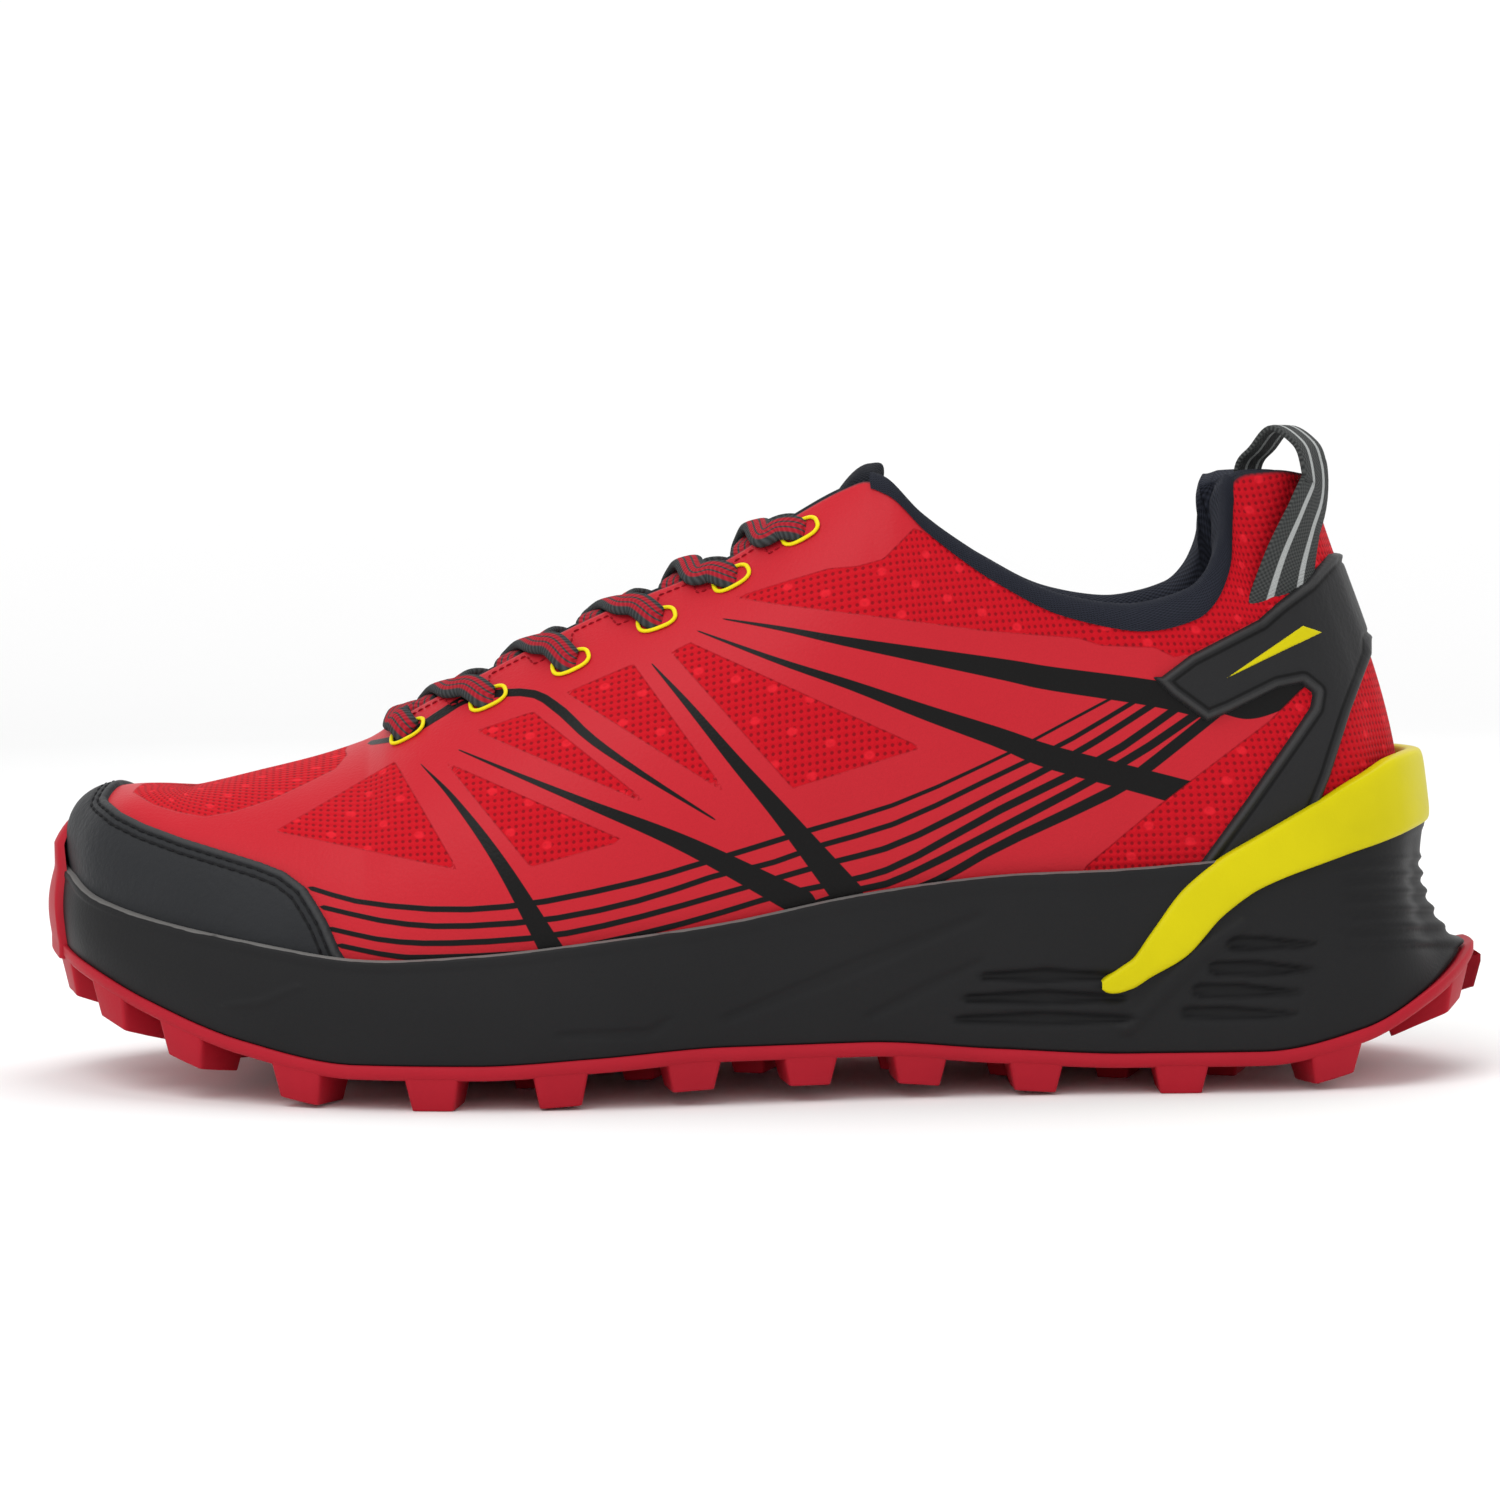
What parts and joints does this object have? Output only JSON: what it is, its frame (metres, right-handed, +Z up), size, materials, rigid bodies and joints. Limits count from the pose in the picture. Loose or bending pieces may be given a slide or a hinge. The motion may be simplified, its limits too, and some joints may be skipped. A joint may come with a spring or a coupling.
{
  "type": "hiking shoe",
  "caption": "Low-cut trail shoe for the left foot with a hollow mesh upper, a thick ribbed midsole, a wrap-round heel clip and a lugged rubber outsole that turns up over the toe.",
  "frame": {"origin": "middle of the ground under the shoe's outer box; the shoe stands on z = 0", "axes": "+X along the shoe towards the heel, the toe on -X; -Y the outer (little toe) side; +Z up"},
  "size_m": [0.3024, 0.1082, 0.1339],
  "materials": {
    "outsole_rubber": "matt red rubber",
    "midsole_foam": "matt charcoal foam with a moulded skin",
    "clip_plastic": "satin yellow plastic",
    "lining_knit": "dark spacer knit",
    "upper_mesh": "red mesh under satin red film",
    "overlay_coat": "black coated microfibre with a fine grain",
    "webbing": "charcoal woven tape",
    "eyelet_plastic": "satin yellow plastic",
    "lace_yarn": "braided charcoal and red yarn"
  },
  "bodies": {
    "root": {"outsole": "outsole_rubber", "midsole": "midsole_foam", "heel_clip": "clip_plastic", "insole": "lining_knit", "upper": "upper_mesh", "toe_cap": "overlay_coat", "heel_counter": "overlay_coat", "collar_padding": "lining_knit", "tongue": "lining_knit", "pull_loop": "webbing", "eyelet_outer_1": "eyelet_plastic", "eyelet_outer_2": "eyelet_plastic", "eyelet_outer_3": "eyelet_plastic", "eyelet_outer_4": "eyelet_plastic", "eyelet_outer_5": "eyelet_plastic", "eyelet_outer_6": "eyelet_plastic", "eyelet_inner_1": "eyelet_plastic", "eyelet_inner_2": "eyelet_plastic", "eyelet_inner_3": "eyelet_plastic", "eyelet_inner_4": "eyelet_plastic", "eyelet_inner_5": "eyelet_plastic", "eyelet_inner_6": "eyelet_plastic", "lace_first": "lace_yarn", "lace_cross_1": "lace_yarn", "lace_cross_2": "lace_yarn", "lace_cross_3": "lace_yarn", "lace_cross_4": "lace_yarn", "lace_cross_5": "lace_yarn"}
  },
  "joints": []
}
